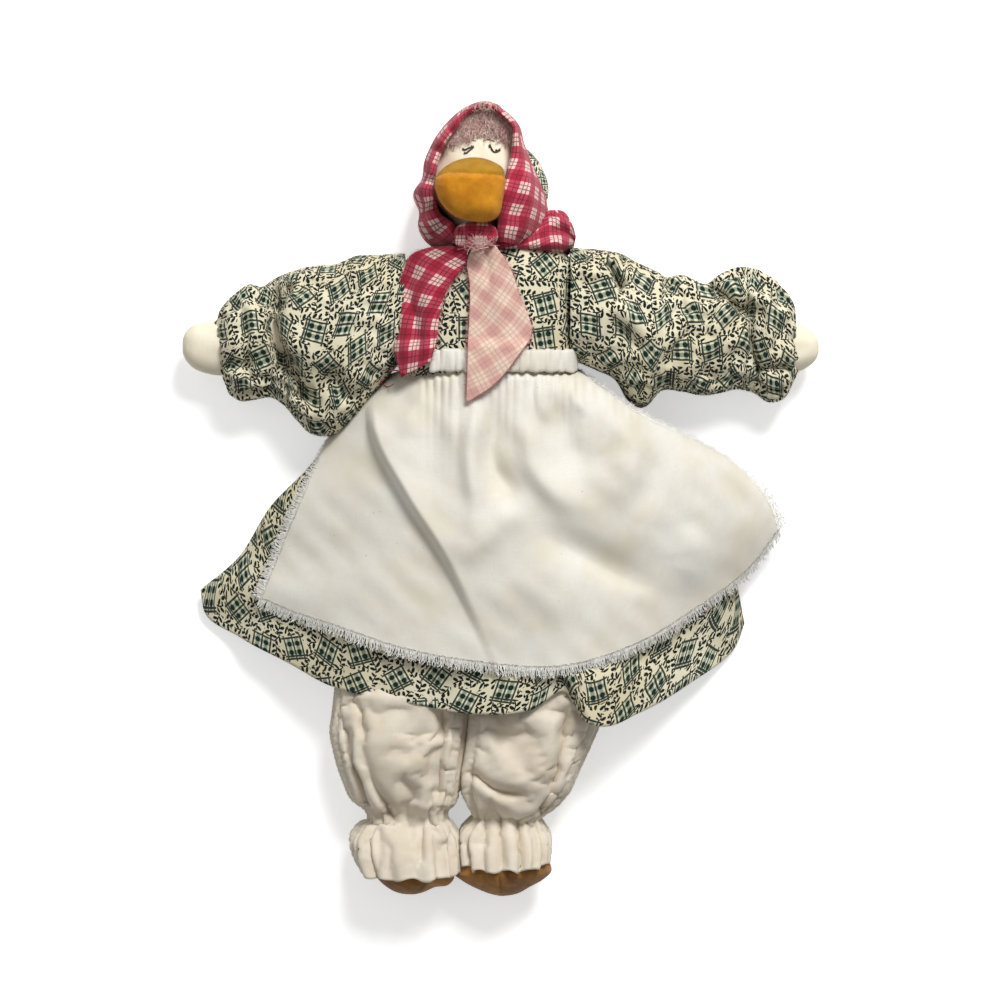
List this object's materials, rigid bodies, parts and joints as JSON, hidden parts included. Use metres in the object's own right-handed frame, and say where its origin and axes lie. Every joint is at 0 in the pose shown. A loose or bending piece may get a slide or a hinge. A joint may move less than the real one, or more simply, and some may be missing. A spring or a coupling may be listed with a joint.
{
  "type": "cloth duck doll",
  "caption": "Stuffed cloth duck doll in a calico dress, frayed apron, gathered pantaloons and tied kerchief, with sewn soft joints.",
  "frame": {"origin": "middle of the doll's outline on the surface it lies on", "axes": "+Y to the top of the head, +Z out of its front, +X to the right of someone who looks at its front"},
  "size_m": [0.3066, 0.381, 0.0764],
  "materials": {
    "muslin": "plain woven cotton, matt",
    "calico": "printed cotton with small sprigs and checks, matt",
    "apron_muslin": "plain woven cotton with frayed edges, matt",
    "pantaloon_cotton": "brushed cotton, matt",
    "kerchief_check": "homespun check, matt",
    "kerchief_reverse": "pale reverse of the homespun check, matt",
    "bill_felt": "brushed felt",
    "foot_suede": "suede",
    "thread": "stitched cotton thread",
    "elastic": "woven elastic",
    "stuffing": "loose fibre filling"
  },
  "bodies": {
    "torso": {"torso_cover": "muslin", "torso_stuffing": "stuffing", "bodice": "calico", "skirt_front_panel": "calico", "skirt_back_panel": "calico", "apron_waistband": "apron_muslin", "apron_panel": "apron_muslin", "pantaloon_seat": "pantaloon_cotton", "pantaloon_waist_elastic": "elastic", "kerchief_knot": "kerchief_check"},
    "head": {"head_cover": "muslin", "head_stuffing": "stuffing", "left_eye_stitch": "thread", "right_eye_stitch": "thread", "left_brow_stitch": "thread", "right_brow_stitch": "thread", "upper_bill": "bill_felt", "lower_bill": "bill_felt", "bill_stuffing": "stuffing", "kerchief_hood": "kerchief_check", "kerchief_fringe": "kerchief_reverse"},
    "left_arm": {"left_sleeve": "calico", "left_wrist_elastic": "elastic", "left_arm_cover": "muslin", "left_arm_stuffing": "stuffing"},
    "left_leg": {"left_pantaloon_leg": "pantaloon_cotton", "left_ankle_elastic": "elastic", "left_leg_cover": "muslin", "left_leg_stuffing": "stuffing", "left_foot_upper": "foot_suede", "left_foot_sole": "foot_suede", "left_foot_stuffing": "stuffing"},
    "left_tail": {"left_tail": "kerchief_check"},
    "right_arm": {"right_sleeve": "calico", "right_wrist_elastic": "elastic", "right_arm_cover": "muslin", "right_arm_stuffing": "stuffing"},
    "right_leg": {"right_pantaloon_leg": "pantaloon_cotton", "right_ankle_elastic": "elastic", "right_leg_cover": "muslin", "right_leg_stuffing": "stuffing", "right_foot_upper": "foot_suede", "right_foot_sole": "foot_suede", "right_foot_stuffing": "stuffing"},
    "right_tail": {"right_tail": "kerchief_reverse"}
  },
  "joints": [
    {"name": "neck_nod", "type": "hinge", "parent": "torso", "child": "head", "pos_m": [-0.011, 0.118, 0.046], "axis": [1, 0, 0], "range_deg": [0, 15]},
    {"name": "left_shoulder", "type": "hinge", "parent": "torso", "child": "left_arm", "pos_m": [-0.0509, 0.091, 0.043], "axis": [0, 1, 0], "range_deg": [0, 75]},
    {"name": "right_shoulder", "type": "hinge", "parent": "torso", "child": "right_arm", "pos_m": [0.0369, 0.091, 0.043], "axis": [0, -1, 0], "range_deg": [0, 75]},
    {"name": "left_hip", "type": "hinge", "parent": "torso", "child": "left_leg", "pos_m": [-0.031, 0.004, 0.041], "axis": [-1, 0, 0], "range_deg": [0, 90], "deforming": ["skirt_front_panel", "apron_panel", "skirt_back_panel"]},
    {"name": "right_hip", "type": "hinge", "parent": "torso", "child": "right_leg", "pos_m": [0.009, 0.004, 0.041], "axis": [-1, 0, 0], "range_deg": [0, 90], "deforming": ["skirt_front_panel", "apron_panel", "skirt_back_panel"]},
    {"name": "left_tail_lift", "type": "hinge", "parent": "torso", "child": "left_tail", "pos_m": [-0.034, 0.1175, 0.0525], "axis": [-1, 0, 0], "range_deg": [0, 60]},
    {"name": "right_tail_lift", "type": "hinge", "parent": "torso", "child": "right_tail", "pos_m": [-0.009, 0.1125, 0.0559], "axis": [-1, 0, 0], "range_deg": [0, 60]}
  ],
  "couplings": [
    {"joint": "right_hip", "follows": "left_hip", "ratio": 1}
  ]
}
